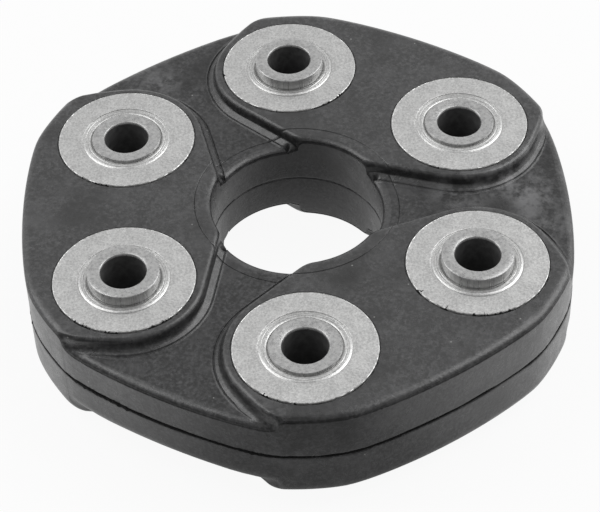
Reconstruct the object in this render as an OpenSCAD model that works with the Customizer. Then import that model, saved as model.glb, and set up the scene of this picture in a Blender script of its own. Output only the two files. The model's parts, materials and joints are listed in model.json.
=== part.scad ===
// Driveshaft flex disc: a rubber coupling with six bolted sleeves and wound cord loops inside.
// Millimetres, +Z up. The origin is on the disc's axis, at its middle plane.

/* [Bolts] */
// Diameter of the circle through the six bolt holes
bolt_circle_d = 110; // [106:1:116]
// Diameter of each bolt hole
bolt_hole_d = 12.3; // [11:0.1:13]
// Chamfer at both ends of a bolt hole
bolt_hole_chamfer = 0.5; // [0.2:0.1:0.8]

/* [Rubber disc] */
// Thickness of the three thick sectors
thick_h = 30.6; // [29:0.2:34]
// Depth of the three thin sectors below the thick ones
recess_depth = 4; // [2.5:0.1:5]
// Rubber from a washer's edge out to the round corner of the rim beside it
corner_wall = 4.8; // [4.2:0.1:5.6]
// Rubber from a washer's edge out to the middle of a side, square to that side
side_wall = 9.1; // [8.5:0.1:10]
// Radius of the six sides of the rim, which are nearly flat
side_arc_r = 172; // [150:1:200]
// Rounding of the edges along the sides
side_round = 2.6; // [1:0.1:3.2]
// Rounding of the edges round the corners
corner_round = 2.4; // [0.8:0.1:3]
// Diameter of the centre hole
centre_hole_d = 48; // [44:0.5:50]
// Rounding of the centre hole's edges
centre_hole_round = 1.4; // [0.5:0.1:2]
// Rubber from a washer's edge to the edge of its thick sector
lobe_wall = 2.7; // [2.2:0.1:3.2]
// How far a thick sector's sides draw in past its bolts, towards the rim
flank_inset = 2; // [1:0.1:2.4]
// Slant of a thick sector's sides from its bolts to the centre hole, in degrees
lobe_slant = 12; // [6:1:15]
// Rounding of a thick sector's edges
lobe_round = 1.7; // [0.5:0.1:2]

/* [Sleeves] */
// Outside diameter of a sleeve
sleeve_d = 19.7; // [18:0.1:21]
// Height of a sleeve's locating collar above its washer
collar_h = 3; // [2:0.1:5]
// Chamfer round the collar
collar_chamfer = 0.6; // [0.3:0.1:1.2]
// Height of a sleeve's plain end above its washer
plain_end_h = 0.45; // [0.2:0.05:1]
// Chamfer round the plain end
plain_end_chamfer = 0.4; // [0.2:0.05:0.6]

/* [Support washers] */
// Outside diameter of a support washer
washer_d = 39; // [37:0.2:40]
// Thickness of a support washer
washer_t = 2.5; // [1.5:0.1:3]
// Height of a washer above the rubber
washer_proud = 0.2; // [0.1:0.05:0.5]
// Chamfer round the washer
washer_chamfer = 0.3; // [0.1:0.05:0.5]
// Wall of the washer's hub, which spaces the cords from the sleeve
hub_wall = 2.15; // [1.5:0.05:2.5]
// Depth of the countersink round the sleeve
countersink_depth = 1.3; // [0.5:0.1:1.5]

/* [Cord loops] */
// Rubber between a cord loop and the metal or the next loop
cord_cover = 0.7; // [0.4:0.1:1]
// How far a cord loop stays inside the washer's edge
loop_inset = 1.1; // [0.5:0.1:2]
// Height of a coast loop
coast_loop_h = 12; // [8:0.5:14]

/* [Hidden] */
$fn = 96;
// Cuts run this far past the face that they open
past = 1;
// The thin form stands this far outside the rim and inside the hole, so the thick form alone shapes their walls
skin = 0.12;
// The rounds about the bolts stand this far outside the straight sides that they join, so they cross cleanly
ease = 0.03;

function to_hundredth(x) = round(100 * x) / 100;

// Two neighbouring bolts as seen along the middle of their sector
bolt_r = bolt_circle_d / 2;
bolt_x = bolt_r * cos(30);
bolt_y = bolt_r * sin(30);

// Radii
centre_hole_r = centre_hole_d / 2;
sleeve_r = sleeve_d / 2;
hub_r = sleeve_r + hub_wall;
washer_r = washer_d / 2;
lobe_r = washer_r + lobe_wall;

// Rim: the corners lie on one circle, and the centre of each side's arc lies across the axis
corner_r = bolt_r + washer_r + corner_wall;
side_arc_back = to_hundredth(side_arc_r - bolt_x - washer_r - side_wall);

// Heights above the middle plane
thick_top = thick_h / 2;
thin_top = thick_top - recess_depth;
washer_face = thick_top + washer_proud;
washer_back = washer_face - washer_t;
collar_end = washer_face + collar_h;
plain_end = washer_face + plain_end_h;

// Cord loops: the drive loops fill what the coast loop leaves under the washers
loop_r = hub_r + cord_cover;
loop_w = washer_r - loop_inset - loop_r;
coast_top = coast_loop_h / 2;
drive_foot = coast_top + cord_cover;
drive_top = washer_back - cord_cover;

rubber = [0.17, 0.17, 0.18];
steel = [0.72, 0.73, 0.74];
zinc = [0.78, 0.78, 0.77];
cord = [0.80, 0.74, 0.58];

// Places: bolt i counts anticlockwise from 30 degrees, and sectors lie between bolts
module at_bolt(i) {
    rotate(30 + 60 * (i - 1)) translate([bolt_r, 0, 0]) children();
}

module at_thick_sector(i) {
    rotate(60 + 120 * (i - 1)) children();
}

module at_thin_sector(i) {
    rotate(120 * i) children();
}

// Half section of a slab with rounded outer corners, from its axis out to w
module rounded_section(w, half_h, r) {
    translate([0, -half_h]) square([w - r, 2 * half_h]);
    translate([0, r - half_h]) square([w, 2 * (half_h - r)]);
    for (side = [-1, 1])
        translate([w - r, side * (half_h - r)]) circle(r);
}

// Disc of even thickness: six wide sides, and a round trim over their corners, make its rim
module disc(half_h, skin = 0) {
    difference() {
        intersection() {
            rotate_extrude() rounded_section(corner_r + skin, half_h, corner_round);
            intersection_for (i = [1:6])
                rotate(60 * i) translate([-side_arc_back, 0, 0])
                    rotate_extrude() rounded_section(side_arc_r + skin, half_h, side_round);
        }
        centre_hole(centre_hole_r - skin, half_h);
    }
}

// Cutter for a centre hole whose edges flare out in a quarter round
module centre_hole(r, half_h) {
    flare = centre_hole_round;
    rotate_extrude() difference() {
        translate([0, -half_h - past]) square([r + flare, 2 * (half_h + past)]);
        translate([r, flare - half_h]) square([2 * flare, 2 * (half_h - flare)]);
        for (side = [-1, 1])
            translate([r + flare, side * (half_h - flare)]) circle(flare);
    }
}

// Block over two bolts: drawn in at the rim, round the bolts, then slanted to the centre
module thick_block() {
    slant_l = (bolt_y + lobe_r * sin(lobe_slant)) / cos(lobe_slant);
    slant_in = bolt_y * sin(lobe_slant) + past;
    translate([bolt_x, 0, 0]) rotate([90, 0, 90]) linear_extrude(corner_r)
        for (side = [0, 1]) mirror([side, 0])
            rounded_section(bolt_y + lobe_r - flank_inset, thick_top, lobe_round);
    for (side = [0, 1]) mirror([0, side, 0]) translate([bolt_x, bolt_y, 0]) {
        rotate_extrude() rounded_section(lobe_r + ease, thick_top, lobe_round);
        rotate(180 - lobe_slant) rotate([-90, 0, 0]) linear_extrude(slant_l)
            translate([-slant_in, 0]) rounded_section(lobe_r + slant_in, thick_top, lobe_round);
    }
}

// Ring of cord wound round two sleeves of one sector, between two heights
module cord_loop(from, to) {
    translate([bolt_x, 0, from]) {
        for (side = [0, 1]) mirror([0, side, 0]) {
            translate([0, bolt_y, 0]) rotate_extrude(angle = 180)
                translate([loop_r, 0]) square([loop_w, to - from]);
            mirror([side, 0, 0]) translate([loop_r, -bolt_y, 0])
                cube([loop_w, 2 * bolt_y, to - from]);
        }
    }
}

// Room that a sleeve and its two washers take in the rubber
module sleeve_seat() {
    cylinder(r = hub_r, h = 2 * washer_back, center = true);
    for (side = [0, 1]) mirror([0, 0, side])
        translate([0, 0, washer_back]) cylinder(r = washer_r, h = washer_t + past);
}

// Outer form of the rubber: thin all over, with a thick block over every second pair of bolts
module rubber_form() {
    intersection() {
        disc(thick_top);
        union() {
            disc(thin_top, skin);
            for (i = [1:3]) at_thick_sector(i) thick_block();
        }
    }
}

module rubber_disc() {
    color(rubber) difference() {
        difference() {
            rubber_form();
            for (i = [1:6]) at_bolt(i) sleeve_seat();
        }
        for (i = [1:3]) {
            upper_drive_loop(i);
            lower_drive_loop(i);
            coast_loop(i);
        }
    }
}

// Odd sleeves have their collar below, even ones above
module sleeve(i) {
    bore_r = bolt_hole_d / 2;
    mouth_r = bore_r + bolt_hole_chamfer;
    color(steel) at_bolt(i) mirror([0, 0, i % 2]) rotate_extrude() polygon([
        [bore_r, bolt_hole_chamfer - plain_end],
        [mouth_r, -plain_end],
        [sleeve_r - plain_end_chamfer, -plain_end],
        [sleeve_r, plain_end_chamfer - plain_end],
        [sleeve_r, collar_end - collar_chamfer],
        [sleeve_r - collar_chamfer, collar_end],
        [mouth_r, collar_end],
        [bore_r, collar_end - bolt_hole_chamfer]
    ]);
}

// Flat washer with a hub that reaches to the middle plane and a countersunk mouth
module washer() {
    color(zinc) rotate_extrude() polygon([
        [sleeve_r, 0],
        [hub_r, 0],
        [hub_r, washer_back],
        [washer_r, washer_back],
        [washer_r, washer_face - washer_chamfer],
        [washer_r - washer_chamfer, washer_face],
        [hub_r, washer_face],
        [sleeve_r, washer_face - countersink_depth]
    ]);
}

module upper_washer(i) {
    at_bolt(i) washer();
}

module lower_washer(i) {
    at_bolt(i) mirror([0, 0, 1]) washer();
}

module upper_drive_loop(i) {
    color(cord) at_thick_sector(i) cord_loop(drive_foot, drive_top);
}

module lower_drive_loop(i) {
    color(cord) at_thick_sector(i) mirror([0, 0, 1]) cord_loop(drive_foot, drive_top);
}

module coast_loop(i) {
    color(cord) at_thin_sector(i) cord_loop(-coast_top, coast_top);
}

rubber_disc();
for (i = [1:6]) {
    sleeve(i);
    upper_washer(i);
    lower_washer(i);
}
for (i = [1:3]) {
    upper_drive_loop(i);
    lower_drive_loop(i);
    coast_loop(i);
}
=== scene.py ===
import json
import math

import bpy
import numpy as np
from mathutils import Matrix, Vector

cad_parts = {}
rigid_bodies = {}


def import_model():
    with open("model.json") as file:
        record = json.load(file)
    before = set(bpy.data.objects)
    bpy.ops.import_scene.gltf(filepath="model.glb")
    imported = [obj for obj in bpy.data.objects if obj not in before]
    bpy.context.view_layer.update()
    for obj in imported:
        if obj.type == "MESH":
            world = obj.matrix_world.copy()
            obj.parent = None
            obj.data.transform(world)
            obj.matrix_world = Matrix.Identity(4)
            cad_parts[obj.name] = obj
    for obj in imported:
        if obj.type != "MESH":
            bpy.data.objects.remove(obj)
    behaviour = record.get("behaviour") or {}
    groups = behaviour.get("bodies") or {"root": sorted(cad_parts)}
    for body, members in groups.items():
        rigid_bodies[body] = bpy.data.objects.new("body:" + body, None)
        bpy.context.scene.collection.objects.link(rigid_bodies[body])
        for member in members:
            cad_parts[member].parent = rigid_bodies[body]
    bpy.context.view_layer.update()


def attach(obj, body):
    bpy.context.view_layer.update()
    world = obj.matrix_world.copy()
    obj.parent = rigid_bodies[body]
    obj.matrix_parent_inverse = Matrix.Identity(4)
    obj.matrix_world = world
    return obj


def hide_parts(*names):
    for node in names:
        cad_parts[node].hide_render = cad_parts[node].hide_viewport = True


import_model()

# Sizes of the part in millimetres, as in its source
BOLT_R = 55.0
BOLT_X = BOLT_R * math.cos(math.radians(30))
BOLT_Y = BOLT_R * math.sin(math.radians(30))
THICK_TOP = 15.3
THIN_TOP = 11.3
HOLE_R = 24.0
# Roundings of the hole's and the rim's edges: across, and down from the face (upper side 1, lower side -1)
HOLE_ROUND = 2.2
HOLE_DROP = 1.3
RIM_ROUND = 2.6
RIM_DROP = {1: 1.5, -1: 4.0}
RIM_TRIM_R = 79.3
RIM_ARC_R = 172.0
RIM_ARC_BACK = 95.77
LOBE_R = 22.1
LOBE_SLANT = math.radians(12)
FLANK_SLANT = math.radians(6)
FLANK_ROUND = 4.5
WASHER_R = 19.5
WASHER_FACE = 15.5
WASHER_BACK = 13.0
HUB_R = 12.0
SLEEVE_R = 9.85
BORE_R = 6.15
COLLAR_END = 18.5
PLAIN_END = 15.95
LOOP_R = 12.7
LOOP_W = 5.7
COAST_TOP = 6.0
DRIVE_FOOT = 6.7
DRIVE_TOP = 12.3
FLOOR_Z = -18.5

MM = 0.001
TAU = 2 * math.pi
SECTOR = math.radians(120)
# Edges that turn more than this many degrees are shaded sharp
SHARP = 38


def bolt_angle(i):
    return math.radians(30 + 60 * (i - 1))


def bolt_place(i):
    a = bolt_angle(i)
    return BOLT_R * math.cos(a), BOLT_R * math.sin(a)


# Smooth repeatable noise over one turn, between about -1 and 1
def turn_noise(angle, seed, low, high, fall=0.5):
    rng = np.random.default_rng(seed)
    total = np.zeros_like(angle)
    power = 0.0
    for wave in range(low, high + 1):
        size = (low / wave) ** fall
        total += size * np.sin(wave * angle + rng.uniform(0, TAU))
        power += size * size / 2
    return total / (2 * math.sqrt(power))


# Makes an object from points in millimetres and faces
def make_object(name, points, faces, materials, face_material=None, place=(0, 0), sharp=SHARP):
    mesh = bpy.data.meshes.new(name)
    mesh.from_pydata((np.asarray(points) * MM).tolist(), [], faces)
    for m in materials:
        mesh.materials.append(m)
    if face_material is not None:
        mesh.polygons.foreach_set("material_index", face_material)
    mesh.validate()
    smooth(mesh, sharp)
    obj = bpy.data.objects.new(name, mesh)
    obj.location = (place[0] * MM, place[1] * MM, 0)
    bpy.context.scene.collection.objects.link(obj)
    return obj


def smooth(mesh, sharp):
    mesh.polygons.foreach_set("use_smooth", np.ones(len(mesh.polygons), bool))
    mesh.set_sharp_from_angle(angle=math.radians(sharp))


# Quads of a grid that closes on itself both ways
def ring_faces(n_u, n_v):
    faces = []
    for u in range(n_u):
        w = (u + 1) % n_u
        for v in range(n_v):
            x = (v + 1) % n_v
            faces.append((u * n_v + v, w * n_v + v, w * n_v + x, u * n_v + x))
    return faces


# Points along a quarter round about a centre, from one angle to another in degrees
def arc(centre, r, start, end, steps):
    a = np.radians(np.linspace(start, end, steps))
    return [(centre[0] + r * math.cos(t), centre[1] + r * math.sin(t)) for t in a]


# Points about the Z axis, one row of radii and heights for each angle
def turned(r, z, angle):
    return np.stack([r * np.cos(angle)[:, None], r * np.sin(angle)[:, None], z], -1)


# Points of a ring whose section changes as it turns: each section point has a radius and a height per angle
def turned_sections(sections, angle):
    r = np.stack([s[0] for s in sections], 1)
    z = np.stack([s[1] for s in sections], 1)
    return turned(r, z, angle).reshape(-1, 3)


# Turned ring from a closed profile of (radius, height); its bore faces may take a second material,
# and lift gives a change of height for each angle and profile point
def lathe(name, profile, turns, materials, place, bore_below=None, lift=None, flip=False, sharp=SHARP):
    profile = np.array(profile, float)
    angle = np.arange(turns) * TAU / turns
    r = np.repeat(profile[None, :, 0], turns, 0)
    z = np.repeat(profile[None, :, 1], turns, 0)
    if lift is not None:
        z = z + lift(angle, profile)
    if flip:
        profile, r, z = profile[::-1], r[:, ::-1], -z[:, ::-1]
    points = turned(r, z, angle)
    n = len(profile)
    slots = None
    if bore_below is not None:
        edge_r = np.maximum(profile[:, 0], np.roll(profile[:, 0], -1))
        slots = np.tile((edge_r < bore_below).astype(np.int32), turns)
    return make_object(name, points.reshape(-1, 3), ring_faces(turns, n), materials, slots, place, sharp)


# Shader helpers
def new_material(name):
    mat = bpy.data.materials.new(name)
    mat.use_nodes = True
    nodes = mat.node_tree.nodes
    shader = nodes["Principled BSDF"]
    return mat, mat.node_tree, shader


def link(tree, a, b):
    tree.links.new(a, b)


def noise_node(tree, vector, scale, detail=2.0, rough=0.5):
    n = tree.nodes.new("ShaderNodeTexNoise")
    n.inputs["Scale"].default_value = scale
    n.inputs["Detail"].default_value = detail
    n.inputs["Roughness"].default_value = rough
    link(tree, vector, n.inputs["Vector"])
    return n.outputs["Fac"]


def range_node(tree, value, low, high, to_low, to_high):
    n = tree.nodes.new("ShaderNodeMapRange")
    n.inputs["From Min"].default_value = low
    n.inputs["From Max"].default_value = high
    n.inputs["To Min"].default_value = to_low
    n.inputs["To Max"].default_value = to_high
    link(tree, value, n.inputs["Value"])
    return n.outputs["Result"]


def math_node(tree, operation, a, b):
    n = tree.nodes.new("ShaderNodeMath")
    n.operation = operation
    for socket, value in zip(n.inputs, (a, b)):
        if isinstance(value, (int, float)):
            socket.default_value = value
        else:
            link(tree, value, socket)
    return n.outputs["Value"]


def mix_node(tree, factor, a, b):
    n = tree.nodes.new("ShaderNodeMix")
    n.data_type = "RGBA"
    link(tree, factor, n.inputs["Factor"])
    for socket, value in ((n.inputs[6], a), (n.inputs[7], b)):
        if isinstance(value, tuple):
            socket.default_value = (*value, 1)
        else:
            link(tree, value, socket)
    return n.outputs[2]


def bump_node(tree, height, strength, distance, normal=None):
    n = tree.nodes.new("ShaderNodeBump")
    n.inputs["Strength"].default_value = strength
    n.inputs["Distance"].default_value = distance
    link(tree, height, n.inputs["Height"])
    if normal is not None:
        link(tree, normal, n.inputs["Normal"])
    return n.outputs["Normal"]


def object_vector(tree):
    return tree.nodes.new("ShaderNodeTexCoord").outputs["Object"]


# Coordinates turned about Z and stretched, for marks that run one way
def stretched(tree, vector, scale, turn=0.0):
    n = tree.nodes.new("ShaderNodeMapping")
    n.inputs["Rotation"].default_value = (0, 0, turn)
    n.inputs["Scale"].default_value = scale
    link(tree, vector, n.inputs["Vector"])
    return n.outputs["Vector"]


# One close to a point, falling to nothing at the outer distance
def near_node(tree, vector, point, inner, outer):
    n = tree.nodes.new("ShaderNodeVectorMath")
    n.operation = "DISTANCE"
    n.inputs[1].default_value = point
    link(tree, vector, n.inputs[0])
    return range_node(tree, n.outputs["Value"], inner, outer, 1, 0)


# Places on the rubber that are scuffed pale or smudged dark: point, full within, gone beyond, in metres
SCUFFS = (
    ((0.062, 0.004, 0.0113), 0.004, 0.02),
    ((0.068, -0.012, 0.0153), 0.002, 0.01),
    ((-0.04, 0.055, 0.0113), 0.0, 0.01),
    ((0.044, 0.004, 0.0113), 0.0, 0.009),
)
SMUDGES = (
    ((-0.027, -0.009, 0.0113), 0.002, 0.008),
    ((0.056, -0.004, 0.0113), 0.001, 0.007),
    ((0.012, -0.03, 0.0153), 0.002, 0.009),
)


# Moulded rubber: black with a satin skin, mottled, finely grained, wiped, scuffed and smudged, with dust
def rubber_material(name, specular):
    mat, tree, shader = new_material(name)
    at = object_vector(tree)
    cloud = noise_node(tree, at, 44, 5, 0.62)
    blotch = noise_node(tree, at, 270, 4, 0.65)
    grain = noise_node(tree, at, 950, 4, 0.75)
    wipe = noise_node(tree, stretched(tree, at, (30, 150, 60), 0.6), 1, 4, 0.6)
    dark, light = (0.009, 0.009, 0.0093), (0.026, 0.026, 0.0265)
    colour = mix_node(tree, range_node(tree, blotch, 0.3, 0.7, 0, 1), dark, light)
    colour = mix_node(tree, range_node(tree, grain, 0.44, 0.7, 0, 1), colour, (0.085, 0.085, 0.087))
    colour = mix_node(tree, range_node(tree, wipe, 0.55, 0.75, 0, 0.6), colour, (0.036, 0.036, 0.037))
    pale = noise_node(tree, at, 75, 6, 0.75)
    colour = mix_node(tree, range_node(tree, pale, 0.5, 0.72, 0, 0.8), colour, (0.07, 0.07, 0.0715))
    colour = mix_node(tree, range_node(tree, cloud, 0.54, 0.7, 0, 0.8), colour, (0.006, 0.006, 0.0062))
    scuff = noise_node(tree, at, 130, 5, 0.7)
    for point, inner, outer in SCUFFS:
        there = near_node(tree, at, point, inner, outer)
        there = math_node(tree, "MULTIPLY", there, range_node(tree, scuff, 0.44, 0.6, 0, 1))
        colour = mix_node(tree, there, colour, (0.17, 0.17, 0.173))
    for point, inner, outer in SMUDGES:
        there = near_node(tree, at, point, inner, outer)
        there = math_node(tree, "MULTIPLY", there, range_node(tree, scuff, 0.35, 0.55, 0.2, 1))
        colour = mix_node(tree, there, colour, (0.003, 0.003, 0.003))
    dust = tree.nodes.new("ShaderNodeTexVoronoi")
    dust.inputs["Scale"].default_value = 210
    link(tree, at, dust.inputs["Vector"])
    split = tree.nodes.new("ShaderNodeSeparateColor")
    link(tree, dust.outputs["Color"], split.inputs["Color"])
    near = range_node(tree, dust.outputs["Distance"], 0.03, 0.055, 1, 0)
    some = math_node(tree, "GREATER_THAN", split.outputs["Red"], 0.8)
    colour = mix_node(tree, math_node(tree, "MULTIPLY", near, some), colour, (0.3, 0.3, 0.29))
    link(tree, colour, shader.inputs["Base Color"])
    link(tree, range_node(tree, blotch, 0.3, 0.7, 0.36, 0.25), shader.inputs["Roughness"])
    shader.inputs["Specular IOR Level"].default_value = specular
    rough = bump_node(tree, grain, 0.55, 0.00016)
    rough = bump_node(tree, blotch, 0.16, 0.0004, rough)
    link(tree, bump_node(tree, cloud, 0.1, 0.0008, rough), shader.inputs["Normal"])
    return mat


# Torn rubber, dull and black; the black is partly the torn skin's own and partly painted shade of the slits
# and gaps where it lies
def torn_and_shade_material():
    mat, tree, shader = new_material("torn_rubber_and_shade")
    at = object_vector(tree)
    crumb = noise_node(tree, at, 1600, 3, 0.65)
    dark, light = (0.002, 0.002, 0.002), (0.012, 0.012, 0.012)
    colour = mix_node(tree, range_node(tree, crumb, 0.35, 0.7, 0, 1), dark, light)
    link(tree, colour, shader.inputs["Base Color"])
    link(tree, range_node(tree, crumb, 0.3, 0.7, 0.7, 0.9), shader.inputs["Roughness"])
    shader.inputs["Specular IOR Level"].default_value = 0.2
    link(tree, bump_node(tree, crumb, 0.5, 0.0002), shader.inputs["Normal"])
    return mat


# Fine matt zinc plate with a speckle
def washer_material():
    mat, tree, shader = new_material("matt_zinc")
    at = object_vector(tree)
    speck = noise_node(tree, at, 1700, 3, 0.8)
    patch = noise_node(tree, at, 240, 4, 0.6)
    dark, light = (0.46, 0.46, 0.456), (0.78, 0.78, 0.772)
    colour = mix_node(tree, range_node(tree, speck, 0.34, 0.66, 0, 1), dark, light)
    colour = mix_node(tree, range_node(tree, patch, 0.45, 0.75, 0, 0.25), colour, (0.8, 0.8, 0.79))
    link(tree, colour, shader.inputs["Base Color"])
    shader.inputs["Metallic"].default_value = 0.9
    link(tree, range_node(tree, patch, 0.3, 0.7, 0.28, 0.42), shader.inputs["Roughness"])
    fine = bump_node(tree, speck, 0.35, 0.00008)
    link(tree, bump_node(tree, patch, 0.1, 0.0002, fine), shader.inputs["Normal"])
    return mat


# Turned steel: rings about the sleeve's own axis, and fine streaks along it
def steel_material():
    mat, tree, shader = new_material("turned_steel")
    at = object_vector(tree)
    rings = tree.nodes.new("ShaderNodeTexWave")
    rings.wave_type = "RINGS"
    rings.rings_direction = "Z"
    rings.inputs["Scale"].default_value = 900
    rings.inputs["Distortion"].default_value = 0.6
    rings.inputs["Detail"].default_value = 2
    link(tree, at, rings.inputs["Vector"])
    fine = noise_node(tree, stretched(tree, at, (1100, 1100, 40)), 1, 3, 0.65)
    colour = mix_node(tree, range_node(tree, fine, 0.3, 0.7, 0, 1), (0.38, 0.38, 0.38), (0.6, 0.6, 0.594))
    link(tree, colour, shader.inputs["Base Color"])
    shader.inputs["Metallic"].default_value = 0.75
    link(tree, range_node(tree, fine, 0.3, 0.7, 0.24, 0.36), shader.inputs["Roughness"])
    groove = bump_node(tree, rings.outputs["Fac"], 0.12, 0.00005)
    link(tree, bump_node(tree, fine, 0.12, 0.00005, groove), shader.inputs["Normal"])
    return mat


# Painted shade inside the bolt holes: dark steel for the shade down the bores
def bore_shade_material():
    mat, tree, shader = new_material("dark_bore_shade")
    at = object_vector(tree)
    fine = noise_node(tree, at, 500, 3, 0.6)
    colour = mix_node(tree, range_node(tree, fine, 0.3, 0.7, 0, 1), (0.06, 0.06, 0.06), (0.12, 0.12, 0.12))
    link(tree, colour, shader.inputs["Base Color"])
    link(tree, range_node(tree, fine, 0.3, 0.7, 0.55, 0.75), shader.inputs["Roughness"])
    shader.inputs["Specular IOR Level"].default_value = 0.3
    return mat


# Rubber-dipped cord
def cord_material():
    mat, tree, shader = new_material("wound_cord")
    at = object_vector(tree)
    strand = noise_node(tree, at, 700, 3, 0.6)
    patch = noise_node(tree, at, 90, 3, 0.5)
    colour = mix_node(tree, range_node(tree, strand, 0.3, 0.7, 0, 1), (0.32, 0.24, 0.13), (0.6, 0.5, 0.32))
    colour = mix_node(tree, range_node(tree, patch, 0.45, 0.75, 0, 0.5), colour, (0.22, 0.16, 0.09))
    link(tree, colour, shader.inputs["Base Color"])
    link(tree, range_node(tree, strand, 0.3, 0.7, 0.7, 0.9), shader.inputs["Roughness"])
    link(tree, bump_node(tree, strand, 0.4, 0.0002), shader.inputs["Normal"])
    return mat


# Painted shade: the floors of the thin sectors take a copy of the rubber that reflects less, for the shade
# in the recesses
RUBBER = rubber_material("moulded_rubber", 0.88)
RECESS_SHADE = rubber_material("moulded_rubber_recess_shade", 0.58)
ZINC = washer_material()
STEEL = steel_material()
BORE_SHADE = bore_shade_material()
CORD = cord_material()
TORN_AND_SHADE = torn_and_shade_material()


# Puts a piece on the part's one body, and hides the solids that it stands for
def piece(obj, slot, *nodes):
    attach(obj, "root")
    if nodes:
        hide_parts(*nodes)


# Rim of the disc: six wide arcs and a round trim, with the corners between them eased
def rim_radius(angle):
    parts = [np.full_like(angle, RIM_TRIM_R)]
    for k in range(6):
        a = angle - math.radians(60 * k)
        parts.append(np.sqrt(RIM_ARC_R**2 - (RIM_ARC_BACK * np.sin(a)) ** 2) - RIM_ARC_BACK * np.cos(a))
    parts = np.array(parts)
    sharpness = 2.5
    low = parts.min(0)
    return low - np.log(np.exp(-sharpness * (parts - low)).sum(0)) / sharpness


# Angle from the middle of a thick sector to a curve d outside its side, at radius r from the axis
def side_angle(r, d):
    reach = LOBE_R + d
    to_slant = BOLT_R * math.cos(math.pi / 6 + LOBE_SLANT) - reach
    slant = -LOBE_SLANT + np.arccos(np.clip(to_slant / r, -1, 1))
    tip = math.pi - LOBE_SLANT
    r_slant = math.hypot(BOLT_X + reach * math.cos(tip), BOLT_Y + reach * math.sin(tip))
    flank_x, flank_y = math.sin(FLANK_SLANT), math.cos(FLANK_SLANT)
    r_flank = math.hypot(BOLT_X + reach * flank_x, BOLT_Y + reach * flank_y)
    turn = math.pi / 6 + np.arccos(np.clip((r * r + BOLT_R**2 - reach**2) / (2 * BOLT_R * r), -1, 1))
    far = BOLT_X * flank_x + BOLT_Y * flank_y + reach
    flank = np.arcsin(np.clip(far / r, -1, 1)) - FLANK_SLANT
    angle = np.where(r < r_slant, slant, np.where(r < r_flank, turn, flank))
    most = 0.86 * FLANK_ROUND
    into_corner = np.clip(r - rim_radius(angle) + FLANK_ROUND, 0, most)
    return angle - (FLANK_ROUND - np.sqrt(FLANK_ROUND**2 - into_corner**2)) / r


# Sections across a thick sector's side, from its top to the floor of the thin sector: (distance, height)
# Towards the hole a steep wall stands on a wide sloping foot, and towards the rim the foot is hollow
SIDE_BY_HOLE = (
    [(-2.4, THICK_TOP)]
    + arc((-1.55, THICK_TOP - 1.55), 1.55, 90, 4, 9)
    + [(0.06, 13.1), (0.12, 12.6), (0.2, 12.36), (0.42, 12.2), (1.0, 11.9), (1.7, 11.52), (2.95, THIN_TOP)]
)
SIDE_BY_RIM = (
    [(-2.4, THICK_TOP)]
    + arc((-1.55, THICK_TOP - 1.55), 1.55, 90, 14, 9)
    + [(0.06, 13.4), (0.2, 12.85), (0.42, 12.4), (0.7, 12.03), (0.95, 11.83), (1.25, 11.69), (1.5, 11.59)]
    + [(1.7, 11.52), (2.95, THIN_TOP)]
)
# Fine line along the foot's edge: (distance, rise), which fades out at the rim
FOOT_LINE = (
    [(1.7, 0), (1.84, -0.07), (1.96, -0.27), (2.1, -0.24)]
    + [(2.24, 0.04), (2.38, 0.14), (2.56, 0.08), (2.74, 0)]
)
# Radius at which the one section starts to turn into the other, how long that takes, and the line's fade
FOOT_CHANGE_R = 42
FOOT_CHANGE_SPAN = 14
FOOT_LINE_FADE = 4
# Distances from the side at which the rubber's grid has a column
SIDE_D = (
    [-3.4, -2.4]
    + [d for d, _ in SIDE_BY_HOLE[1:10]]
    + [0.04, 0.08, 0.13, 0.2, 0.3, 0.42, 0.58, 0.78, 1.0, 1.25, 1.5]
    + [d for d, _ in FOOT_LINE]
    + [2.95, 3.4]
)


def along(line, d):
    return float(np.interp(d, [p[0] for p in line], [p[1] for p in line]))


# Heights of the rubber at a distance from a side: by the hole, by the rim, and the rise of the fine line
def side_heights(d):
    return along(SIDE_BY_HOLE, d), along(SIDE_BY_RIM, d), along(FOOT_LINE, d)


TOP_HEIGHTS = (THICK_TOP, THICK_TOP, 0.0)
FLOOR_HEIGHTS = (THIN_TOP, THIN_TOP, 0.0)
THICK_STEPS = 40
THIN_STEPS = 18


# Columns of the rubber's grid, each with its heights and its angle as a function of radius
def rubber_columns():
    columns = []
    for k in range(3):
        middle = math.radians(60 + 120 * k)
        for f in np.linspace(-1, 1, THICK_STEPS + 1)[:-1]:
            columns.append((TOP_HEIGHTS, lambda r, m=middle, f=f: m + f * side_angle(r, SIDE_D[0])))
        for d in SIDE_D[:-1]:
            columns.append((side_heights(d), lambda r, m=middle, d=d: m + side_angle(r, d)))
        for f in np.linspace(0, 1, THIN_STEPS + 1)[:-1]:
            columns.append((
                FLOOR_HEIGHTS,
                lambda r, m=middle, f=f: m + side_angle(r, SIDE_D[-1]) * (1 - 2 * f) + f * SECTOR,
            ))
        for d in SIDE_D[:0:-1]:
            columns.append((side_heights(d), lambda r, m=middle, d=d: m + SECTOR - side_angle(r, d)))
    return columns


# Heights of the grid's rows beside the parting line
SEAM_LEVELS = (0, 0.1, 0.2, 0.34, 0.55, 0.9, 1.6)
# Fine line round the hole on the faces, and the grid's rows beside it
RING_LINE_R = 28.5
RING_LINE_DEPTH = 0.2
RING_LINE_WIDTH = 0.1
RING_LINE_STEPS = (-2.2, -1.4, -0.7, -0.2, -0.08, 0, 0.08, 0.2, 0.9)
RING_LINE_END = 2.2
# Fine line where an edge's rounding meets its wall, and the grid's rows below it
EDGE_LINE_DEPTH = 0.26
EDGE_LINE_WIDTH = 0.17
EDGE_LINE_UP = 0.1
EDGE_LINE_STEPS = (0.12, 0.28, 0.5)


# Depth of that line at a height above the end of the rounding
def edge_line(height):
    return EDGE_LINE_DEPTH * math.exp(-(((height - EDGE_LINE_UP) / EDGE_LINE_WIDTH) ** 2))


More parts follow.
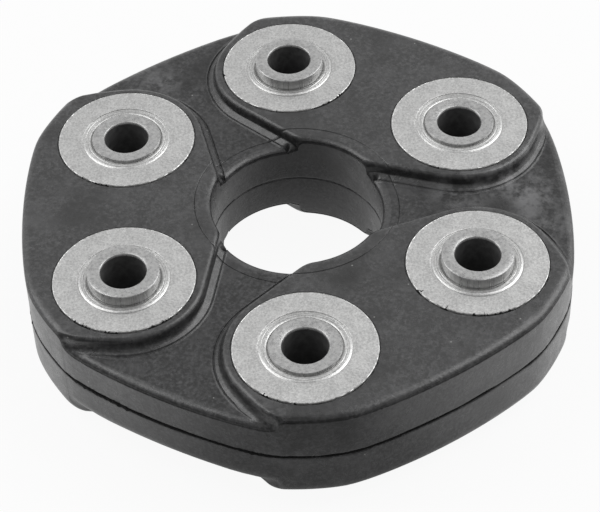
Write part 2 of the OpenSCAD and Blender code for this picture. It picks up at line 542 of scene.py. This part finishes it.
# One half of a column, from the middle of the hole's wall over the top to the middle of the rim:
# (radius, height, zone)
def rubber_column_half(heights, angle_at, side):
    by_hole, by_rim, rise = heights
    drop, lined = RIM_DROP[side], side > 0
    in_hole, out_rim = by_hole + rise - HOLE_DROP, by_rim - drop
    rows = []
    for z in SEAM_LEVELS[:5]:
        rows.append((HOLE_R, z, "hole_seam"))
    for f in np.linspace(0.14, 0.9, 5):
        rows.append((HOLE_R, f * in_hole, "hole"))
    for below in EDGE_LINE_STEPS[::-1]:
        rows.append((HOLE_R + edge_line(-below), in_hole - below, "hole"))
    for r, z in arc((1, 0), 1, 180, 90, 14):
        rows.append((HOLE_R + HOLE_ROUND * r + edge_line(HOLE_DROP * z), in_hole + HOLE_DROP * z, "hole"))
    # The column bends with the side, so its end on the rim is found in a few steps
    r_end = np.array(76.0)
    for _ in range(6):
        r_end = rim_radius(angle_at(r_end))
    r_end = float(r_end)
    start, stop = RING_LINE_R + RING_LINE_END, r_end - RIM_ROUND
    flat = [RING_LINE_R + step for step in RING_LINE_STEPS] + list(np.linspace(start, stop, 22)[:-1])
    for r in flat:
        change = np.clip((r - FOOT_CHANGE_R) / FOOT_CHANGE_SPAN, 0, 1)
        fade = np.clip((stop - r) / FOOT_LINE_FADE, 0, 1)
        rows.append((r, by_hole + change * (by_rim - by_hole) + fade * rise, "top"))
    for r, z in arc((0, 0), 1, 90, 0, 16):
        rows.append((stop + RIM_ROUND * r - lined * edge_line(drop * z), out_rim + drop * z, "rim"))
    for below in EDGE_LINE_STEPS:
        rows.append((r_end - lined * edge_line(-below), out_rim - below, "rim"))
    for f in np.linspace(0.9, 0.24, 6):
        rows.append((r_end, f * out_rim, "rim"))
    for z in SEAM_LEVELS[::-1]:
        rows.append((r_end, z, "rim_seam"))
    return rows


# Small pits where the foot of each side runs out into the hole: radius, distance from the side, depth and
# width, on rows above a height that leaves the hole's wall alone
PIT_R = 25.0
PIT_D = 1.5
PIT_DEPTH = 1.8
PIT_WIDTH = 0.55
PIT_ABOVE = 8
# How far the rim stands proud on the thick sectors, and below the parting line
THICK_PROUD = 0.14
LOWER_PROUD = 0.12
LOWER_PROUD_OVER = 0.3
# Columns lower than this above the thin sector's floor count as floor
FLOOR_MARGIN = 0.15


def pit_angles():
    reach = float(side_angle(np.array(PIT_R), PIT_D))
    return [math.radians(60 + 120 * k) + side * reach for k in range(3) for side in (1, -1)]


# Points of the rubber's grid, and which of them lie on the floors of the thin sectors
def rubber_points():
    columns = rubber_columns()
    out = []
    for side in (1, -1):
        halves = [rubber_column_half(h, a, side) for h, a in columns]
        zones = [row[2] for row in halves[0]]
        r = np.array([[row[0] for row in half] for half in halves])
        z = np.array([[row[1] for row in half] for half in halves])
        angle = np.array([c[1](r[i]) for i, c in enumerate(columns)])
        top = np.array([s == "top" for s in zones])
        wall = np.array([s.startswith("rim") for s in zones])
        rim = np.array([s == "rim_seam" for s in zones])
        hole = np.array([s == "hole_seam" for s in zones])
        z[:, top] -= RING_LINE_DEPTH * np.exp(-(((r[:, top] - RING_LINE_R) / RING_LINE_WIDTH) ** 2))
        depth = 0.42 + 0.5 * turn_noise(angle[:, rim], 11, 5, 90, 0.6)
        width = 0.26 + 0.2 * np.abs(turn_noise(angle[:, rim], 12 + side, 7, 120, 0.5))
        r[:, rim] -= np.clip(depth, 0.12, 1.1) * np.exp(-((z[:, rim] / width) ** 2))
        for pit_angle in pit_angles():
            turn = angle - pit_angle
            away = (r - PIT_R) ** 2 + (r * np.sin(turn)) ** 2
            here = (z > PIT_ABOVE) & (np.cos(turn) > 0)
            z -= PIT_DEPTH * np.exp(-away / PIT_WIDTH**2) * here
        line = 0.3 + 0.16 * turn_noise(angle[:, hole], 21, 4, 40)
        r[:, hole] += np.clip(line, 0.08, 0.5) * np.exp(-((z[:, hole] / 0.2) ** 2))
        lobe = np.clip((z.max(1) - THIN_TOP) / (THICK_TOP - THIN_TOP), 0, 1)
        r[:, wall] += THICK_PROUD * lobe[:, None]
        if side < 0:
            r[:, wall] += LOWER_PROUD * np.clip(z[:, wall] / LOWER_PROUD_OVER, 0, 1)
        out.append(np.stack([r * np.cos(angle), r * np.sin(angle), z * side], -1))
    upper, lower = out
    points = np.concatenate([upper, lower[:, -2:0:-1]], 1)
    low_column = np.array([c[0][1] < THIN_TOP + FLOOR_MARGIN for c in columns])
    floor = np.concatenate([top, top[-2:0:-1]])
    return points, low_column[:, None] & floor[None, :]


# Cutter for a sleeve and its two washers, with a slanted lip round each washer
def seat_cutter(i):
    gap = 0.04
    lip = 0.28
    over = 0.3
    half = [
        (HUB_R, 0),
        (HUB_R, WASHER_BACK),
        (WASHER_R + gap, WASHER_BACK),
        (WASHER_R + gap, THICK_TOP - lip),
        (WASHER_R + gap + lip + over, THICK_TOP + over),
        (WASHER_R + gap + lip + over, THICK_TOP + 2),
    ]
    profile = np.array([(r, -z) for r, z in half[:0:-1]] + half)
    turns = 180
    angle = np.arange(turns) * TAU / turns
    x, y = bolt_place(i)
    points = np.stack([
        x + profile[None, :, 0] * np.cos(angle)[:, None],
        y + profile[None, :, 0] * np.sin(angle)[:, None],
        np.repeat(profile[None, :, 1], turns, 0),
    ], -1).reshape(-1, 3)
    n = len(profile)
    faces = [f for k, f in enumerate(ring_faces(turns, n)) if k % n != n - 1]
    faces.append([u * n + n - 1 for u in range(turns)])
    faces.append([u * n for u in range(turns)][::-1])
    return points, faces


# Path of a cord loop: (centre, outward direction) points round the two bolts of a sector
def loop_path(steps):
    path = []
    for side in (1, -1):
        for a in np.linspace(0, math.pi, steps):
            t = a if side > 0 else a + math.pi
            path.append(((BOLT_X, side * BOLT_Y), (math.cos(t), math.sin(t))))
    return path


def sweep_loop(section, sector_angle, steps):
    c, s = math.cos(sector_angle), math.sin(sector_angle)
    points = []
    for centre, out in loop_path(steps):
        for r, z in section:
            x, y = centre[0] + r * out[0], centre[1] + r * out[1]
            points.append((c * x - s * y, s * x + c * y, z))
    return points, ring_faces(2 * steps, len(section))


def loop_spans():
    for k in range(3):
        thick, thin = math.radians(60 + 120 * k), math.radians(120 * (k + 1))
        yield f"upper_drive_loop_{k + 1}", thick, DRIVE_FOOT, DRIVE_TOP
        yield f"lower_drive_loop_{k + 1}", thick, -DRIVE_TOP, -DRIVE_FOOT
        yield f"coast_loop_{k + 1}", thin, -COAST_TOP, COAST_TOP


def cut(obj, cutters):
    holder = bpy.data.collections.new("cutters")
    for name, points, faces in cutters:
        c = make_object(name, points, faces, [RUBBER])
        bpy.context.scene.collection.objects.unlink(c)
        holder.objects.link(c)
    bpy.context.scene.collection.children.link(holder)
    mod = obj.modifiers.new("cut", "BOOLEAN")
    mod.operation = "DIFFERENCE"
    mod.operand_type = "COLLECTION"
    mod.collection = holder
    mod.solver = "MANIFOLD"
    bpy.context.view_layer.update()
    dg = bpy.context.evaluated_depsgraph_get()
    mesh = bpy.data.meshes.new_from_object(obj.evaluated_get(dg))
    obj.modifiers.clear()
    obj.data = mesh
    for c in list(holder.objects):
        bpy.data.objects.remove(c)
    bpy.data.collections.remove(holder)
    smooth(mesh, SHARP)


def make_rubber():
    grid, floor = rubber_points()
    n_u, n_v = grid.shape[:2]
    faces = [f[::-1] for f in ring_faces(n_u, n_v)]
    # Faces on the floors of the thin sectors take the copy of the rubber with the painted shade
    slots = (floor & np.roll(floor, -1, 0)).astype(np.int32).ravel()
    body = make_object("rubber_body", grid.reshape(-1, 3), faces, [RUBBER, RECESS_SHADE], slots)
    cutters = [(f"seat_{i}", *seat_cutter(i)) for i in range(1, 7)]
    for name, angle, low, high in loop_spans():
        section = [(LOOP_R, low), (LOOP_R + LOOP_W, low), (LOOP_R + LOOP_W, high), (LOOP_R, high)]
        cutters.append((f"cavity_{name}", *sweep_loop(section, angle, 24)))
    cut(body, cutters)
    piece(body, "rubber", "rubber_disc")
    return body


# Outline of a wound bundle: each side of its rectangle is a row of cords
def bundle_section(low, high):
    gap = 0.05
    cord_height = 1.45
    dip = 0.3
    w, h = LOOP_W - 2 * gap, high - low - 2 * gap
    x0, y0 = LOOP_R + gap, low + gap
    across, up = 4, max(4, round(h / cord_height))
    outline = []
    corners = [
        ((0, 0), (1, 0), across, w),
        ((w, 0), (0, 1), up, h),
        ((w, h), (-1, 0), across, w),
        ((0, h), (0, -1), up, h),
    ]
    for (cx, cy), (dx, dy), count, length in corners:
        for k in range(count):
            for f, inset in ((0, dip), (0.2, 0.08), (0.5, 0), (0.8, 0.08)):
                t = (k + f) * length / count
                if k == 0 and f == 0:
                    px, py = cx + dip * (dx - dy) * 0.7, cy + dip * (dy + dx) * 0.7
                else:
                    px, py = cx + dx * t - dy * inset, cy + dy * t + dx * inset
                outline.append((x0 + px, y0 + py))
    return outline


def make_loops():
    for name, angle, low, high in loop_spans():
        points, faces = sweep_loop(bundle_section(low, high), angle, 26)
        obj = make_object(f"wound_{name}", points, faces, [CORD], sharp=60)
        piece(obj, "cord", name)


# Washer: a ragged burr along its edge, and fine turned rings that sink to the sleeve
BURR_R = 19.2
BURR_HEIGHT = 0.16
WASHER_SHARP = 24
WASHER_TURNS = 400
SLEEVE_TURNS = 160


def washer_profile():
    face, back = WASHER_FACE, WASHER_BACK
    return (
        [(SLEEVE_R + 0.02, 0.02), (HUB_R - 0.25, 0.02), (HUB_R - 0.04, 0.25), (HUB_R - 0.04, back - 0.4)]
        + [(HUB_R + 0.1, back - 0.08), (HUB_R + 0.4, back + 0.02)]
        + [(WASHER_R - 0.3, back + 0.02), (WASHER_R - 0.04, back + 0.3), (WASHER_R - 0.02, face - 0.4)]
        + [(WASHER_R - 0.06, face - 0.2), (WASHER_R - 0.16, face - 0.05)]
        + [(BURR_R, face), (BURR_R - 0.12, face - 0.01), (BURR_R - 0.3, face), (16.0, face), (13.1, face)]
        + [(12.72, face), (12.6, face - 0.04), (12.46, face - 0.22), (12.34, face - 0.24)]
        + [(12.18, face - 0.16), (11.95, face - 0.07), (11.72, face - 0.02), (11.62, face - 0.1)]
        + [(11.52, face - 0.1), (11.42, face - 0.01), (11.1, face), (11.02, face - 0.09)]
        + [(10.9, face - 0.1), (10.8, face - 0.03), (10.5, face - 0.06), (10.28, face - 0.16)]
        + [(10.12, face - 0.5), (SLEEVE_R + 0.02, face - 0.64), (SLEEVE_R + 0.02, face - 1.4)]
    )


def make_washers():
    for i in range(1, 7):
        for side, flip in (("upper", False), ("lower", True)):
            def burr(angle, profile, seed=40 + 2 * i + flip):
                crest = np.exp(-(((profile[:, 0] - BURR_R) / 0.1) ** 2)) * (profile[:, 1] > WASHER_BACK + 1)
                ragged = np.clip(0.35 + 0.8 * turn_noise(angle, seed, 12, 220, 0.3), 0, 1)
                return BURR_HEIGHT * ragged[:, None] * crest[None, :]
            name = f"{side}_support_washer_{i}"
            look = {"lift": burr, "flip": flip, "sharp": WASHER_SHARP}
            obj = lathe(name, washer_profile(), WASHER_TURNS, [ZINC], bolt_place(i), **look)
            piece(obj, "washer_zinc", f"{side}_washer_{i}")


# Sleeve: the collar end is at the top of this profile
def sleeve_profile():
    top, foot = COLLAR_END, -PLAIN_END
    mouth = BORE_R + 0.34
    return (
        [(BORE_R, foot + 0.6), (BORE_R + 0.06, foot + 0.38)]
        + [(mouth - 0.06, foot + 0.06), (mouth + 0.06, foot)]
        + [(SLEEVE_R - 0.26, foot), (SLEEVE_R - 0.05, foot + 0.2), (SLEEVE_R, foot + 0.34)]
        + [(SLEEVE_R, 0), (SLEEVE_R, top - 0.34), (SLEEVE_R - 0.04, top - 0.24)]
        + [(SLEEVE_R - 0.22, top - 0.05), (SLEEVE_R - 0.32, top)]
        + [(mouth + 0.06, top), (mouth - 0.06, top - 0.06)]
        + [(BORE_R + 0.06, top - 0.38), (BORE_R, top - 0.6)]
    )


def make_sleeves():
    for i in range(1, 7):
        name = f"bolt_sleeve_{i}"
        look = {"bore_below": BORE_R + 0.05, "flip": i % 2 == 1}
        # The bore faces take the painted shade
        obj = lathe(name, sleeve_profile(), SLEEVE_TURNS, [STEEL, BORE_SHADE], bolt_place(i), **look)
        piece(obj, "sleeve_steel", f"sleeve_{i}")


# Torn rubber flash over a washer's edge. Spans are (from, to, reach) and cracks (angle, half width, reach),
# in degrees and millimetres
FLASH = {
    1: ([(238, 250, 0.5)], []),
    2: ([(180, 191, 0.8), (288, 336, 0.6)], [(257, 0.5, 0.5)]),
    3: ([(242, 257, 0.7), (326, 334, 0.5)], [(26, 0.6, 0.8), (231, 0.5, 0.6)]),
    4: ([(225, 246, 0.8), (253, 268, 0.6), (288, 312, 0.7)], [(236, 0.5, 1.0)]),
    5: ([(231, 240, 0.7), (256, 263, 0.4)], [(234, 0.7, 0.9), (246, 0.4, 0.5)]),
    6: (
        [(206, 218, 0.8), (232, 242, 0.8), (258, 296, 0.6)],
        [(212, 0.6, 1.8), (239, 0.45, 1.8), (270, 0.4, 1.2), (186, 0.4, 0.9)],
    ),
}


def make_flash():
    turns = 1400
    angle = np.arange(turns) * TAU / turns
    degrees = np.degrees(angle)
    for i, (spans, cracks) in FLASH.items():
        reach = -0.16 + 0.1 * turn_noise(angle, 70 + i, 20, 200, 0.3)
        ragged = np.clip(turn_noise(angle, 170 + i, 14, 130, 0.15), 0, 1.2)
        for start, end, depth in spans:
            window = np.clip(np.minimum(degrees - start, end - degrees) / 3, 0, 1)
            reach = np.maximum(reach, (0.75 * depth * ragged + 0.16) * window - 0.12)
        for centre, half, depth in cracks:
            away = np.abs((degrees - centre + 180) % 360 - 180) / half
            reach = np.maximum(reach, (depth + 0.12) * np.clip(1 - away, 0, 1) ** 0.8 - 0.12)
        inner = WASHER_R - reach
        over = np.clip(reach / 0.3, 0, 1)
        outer = np.full(turns, WASHER_R + 0.3) + 0.06 * turn_noise(angle, 80 + i, 10, 90)
        lift = 0.05 + 0.05 * np.abs(turn_noise(angle, 90 + i, 15, 150, 0.3))
        on_edge = WASHER_FACE - 0.3 + np.clip(WASHER_R - inner, 0, 0.3)
        rest_z = np.where(inner < WASHER_R - 0.3, WASHER_FACE, on_edge)
        rest_z = np.where(inner > WASHER_R, THICK_TOP - 0.12, rest_z)
        sections = [
            (inner, rest_z + 0.012),
            (np.maximum(inner + 0.05, WASHER_R + 0.06), THICK_TOP - 0.3 + 0 * inner),
            (outer, THICK_TOP - 0.1 + 0 * inner),
            (outer - 0.04, THICK_TOP + 0.02 + 0 * inner),
            (np.maximum(inner + 0.1, WASHER_R + 0.12), THICK_TOP + 0.04 + 0.12 * over),
            (inner + 0.02, rest_z + 0.012 + lift),
        ]
        points = turned_sections(sections, angle)
        faces = ring_faces(turns, len(sections))
        # Faces that reach over the washer take the black torn rubber, partly painted shade of the slits
        # there
        torn_and_shaded = np.repeat(reach > 0.02, len(sections)).astype(np.int32)
        obj = make_object(f"rubber_flash_{i}", points, faces, [RUBBER, TORN_AND_SHADE], torn_and_shaded, bolt_place(i))
        piece(obj, "rubber")


# Torn flash along the mould's parting line round the rim
def make_seam():
    turns = 2600
    angle = np.arange(turns) * TAU / turns
    rim = rim_radius(angle)
    broad = np.clip(0.7 + 0.9 * turn_noise(angle, 31, 2, 14, 0.2), 0.15, 1.6)
    for middle, span, more in ((213, 26, 1.0), (318, 20, 0.4)):
        broad += more * np.exp(-(((np.degrees(angle) - middle) / span) ** 2))
    up = 0.17 + broad * (0.2 + 0.17 * np.clip(turn_noise(angle, 32, 30, 300, 0.3), -1, 1.5))
    down = 0.18 + broad * (0.22 + 0.2 * np.clip(turn_noise(angle, 33, 25, 340, 0.3), -1, 1.5))
    proud = 0.05 + 0.12 * broad * np.abs(turn_noise(angle, 34, 30, 300, 0.3))
    middle = 0.06 * turn_noise(angle, 35, 3, 30)
    sections = [
        (rim - 0.7, middle + 0.5 * up),
        (rim - 0.02, middle + up),
        (rim + proud, middle + 0.45 * up),
        (rim + proud, middle - 0.4 * down),
        (rim + 0.1, middle - down),
        (rim - 0.6, middle - 0.5 * down),
    ]
    points = turned_sections(sections, angle)
    faces = [f[::-1] for f in ring_faces(turns, len(sections))]
    # The parting line's flash is black torn rubber, partly painted shade of its gap
    piece(make_object("parting_flash", points, faces, [TORN_AND_SHADE]), "rubber")


make_rubber()
make_seam()
make_loops()
make_washers()
make_sleeves()
make_flash()


# Floor that reads white to the camera and keeps a soft shadow. Reflections see it white beside and behind
# the part, with painted shade that dims it in front of it, far off in front and inside the hole
def make_floor():
    size = 3000.0
    mesh = bpy.data.meshes.new("floor")
    corners = [(-size, -size), (size, -size), (size, size), (-size, size)]
    mesh.from_pydata([(x * MM, y * MM, (FLOOR_Z - 0.05) * MM) for x, y in corners], [], [(0, 1, 2, 3)])
    floor = bpy.data.objects.new("floor", mesh)
    bpy.context.scene.collection.objects.link(floor)
    mat = bpy.data.materials.new("studio_floor")
    mat.use_nodes = True
    tree = mat.node_tree
    tree.nodes.clear()
    out = tree.nodes.new("ShaderNodeOutputMaterial")
    plain = tree.nodes.new("ShaderNodeBsdfDiffuse")
    plain.inputs["Color"].default_value = (0.8, 0.8, 0.8, 1)
    glow = tree.nodes.new("ShaderNodeEmission")
    glow.inputs["Color"].default_value = (1, 1, 1, 1)
    mix = tree.nodes.new("ShaderNodeMixShader")
    ray = tree.nodes.new("ShaderNodeLightPath")
    seen = math_node(tree, "MAXIMUM", ray.outputs["Is Camera Ray"], ray.outputs["Is Transmission Ray"])
    seen = math_node(tree, "MULTIPLY", seen, 0.93)
    place = tree.nodes.new("ShaderNodeSeparateXYZ")
    link(tree, object_vector(tree), place.inputs["Vector"])
    aside = math_node(tree, "ABSOLUTE", place.outputs["X"], 0)
    aside = range_node(tree, aside, 0.03, 0.075, 0.35, 1.0)
    behind = range_node(tree, place.outputs["Y"], -0.06, 0.08, 0.35, 1.0)
    bright = math_node(tree, "MAXIMUM", aside, behind)
    across = math_node(tree, "MULTIPLY", place.outputs["X"], place.outputs["X"])
    along = math_node(tree, "MULTIPLY", place.outputs["Y"], place.outputs["Y"])
    distance = math_node(tree, "SQRT", math_node(tree, "ADD", across, along), 0)
    # Painted shade of the part on the floor inside the hole, as reflections see it
    in_hole = range_node(tree, distance, 0.008, 0.02, 0.42, 1.0)
    # Painted shade far off in front of the part, as reflections see it
    far_off_shade = range_node(tree, distance, 0.1, 0.15, 1.0, 0.25)
    far_off_shade = math_node(tree, "MAXIMUM", far_off_shade, range_node(tree, place.outputs["Y"], -0.03, 0.03, 0, 1))
    bright = math_node(tree, "MULTIPLY", math_node(tree, "MULTIPLY", bright, in_hole), far_off_shade)
    link(tree, math_node(tree, "MAXIMUM", ray.outputs["Is Camera Ray"], bright), glow.inputs["Strength"])
    link(tree, math_node(tree, "MAXIMUM", seen, ray.outputs["Is Glossy Ray"]), mix.inputs["Fac"])
    link(tree, plain.outputs["BSDF"], mix.inputs[1])
    link(tree, glow.outputs["Emission"], mix.inputs[2])
    link(tree, mix.outputs["Shader"], out.inputs["Surface"])
    mesh.materials.append(mat)


# White surroundings for the camera, and for the light on the part a studio that is dim towards the viewer
def make_world():
    world = bpy.data.worlds.new("studio")
    bpy.context.scene.world = world
    world.use_nodes = True
    tree = world.node_tree
    tree.nodes.clear()
    out = tree.nodes.new("ShaderNodeOutputWorld")
    white = tree.nodes.new("ShaderNodeBackground")
    white.inputs["Color"].default_value = (1, 1, 1, 1)
    room = tree.nodes.new("ShaderNodeBackground")
    mix = tree.nodes.new("ShaderNodeMixShader")
    ray = tree.nodes.new("ShaderNodeLightPath")
    way = tree.nodes.new("ShaderNodeSeparateXYZ")
    link(tree, tree.nodes.new("ShaderNodeTexCoord").outputs["Generated"], way.inputs["Vector"])
    side = range_node(tree, way.outputs["X"], -1, 1, 0.75, 0.95)
    shade = range_node(tree, way.outputs["Y"], -0.45, 0.05, 0.0, 1.0)
    dim = range_node(tree, way.outputs["Z"], 0.25, 0.6, 0.06, 0.5)
    shade = math_node(tree, "MAXIMUM", shade, dim)
    overhead = range_node(tree, way.outputs["Z"], 0.8, 0.97, 1.0, 0.6)
    low = range_node(tree, way.outputs["Z"], 0.05, 0.4, 1.5, 1.0)
    shade = math_node(tree, "MULTIPLY", shade, side)
    shade = math_node(tree, "MULTIPLY", shade, overhead)
    link(tree, math_node(tree, "MULTIPLY", shade, low), room.inputs["Strength"])
    link(tree, ray.outputs["Is Camera Ray"], mix.inputs["Fac"])
    link(tree, room.outputs["Background"], mix.inputs[1])
    link(tree, white.outputs["Background"], mix.inputs[2])
    link(tree, mix.outputs["Shader"], out.inputs["Surface"])


def soft_light(name, place, aim, size, power):
    data = bpy.data.lights.new(name, "AREA")
    data.shape = "RECTANGLE"
    data.size, data.size_y = size
    data.energy = power
    obj = bpy.data.objects.new(name, data)
    bpy.context.scene.collection.objects.link(obj)
    obj.location = Vector(place)
    obj.rotation_euler = (Vector(aim) - obj.location).to_track_quat("-Z", "Y").to_euler()


def make_camera():
    data = bpy.data.cameras.new("camera")
    data.sensor_width = 36.0
    data.lens = 134.866
    cam = bpy.data.objects.new("camera", data)
    cam.location = (-0.0056, -0.44311, 0.45500)
    cam.rotation_euler = [math.radians(a) for a in (43.739, 1.5434, -2.3699)]
    data.clip_start, data.clip_end = 0.01, 20
    bpy.context.scene.collection.objects.link(cam)
    bpy.context.scene.camera = cam


make_floor()
make_world()
soft_light("left_light", (-0.62, 0.2, 0.75), (0, 0, 0), (0.55, 0.9), 2.9)
soft_light("right_light", (0.62, 0.25, 0.72), (0, 0, 0), (0.55, 0.9), 3.6)
make_camera()

bpy.context.scene.view_settings.view_transform = "Standard"
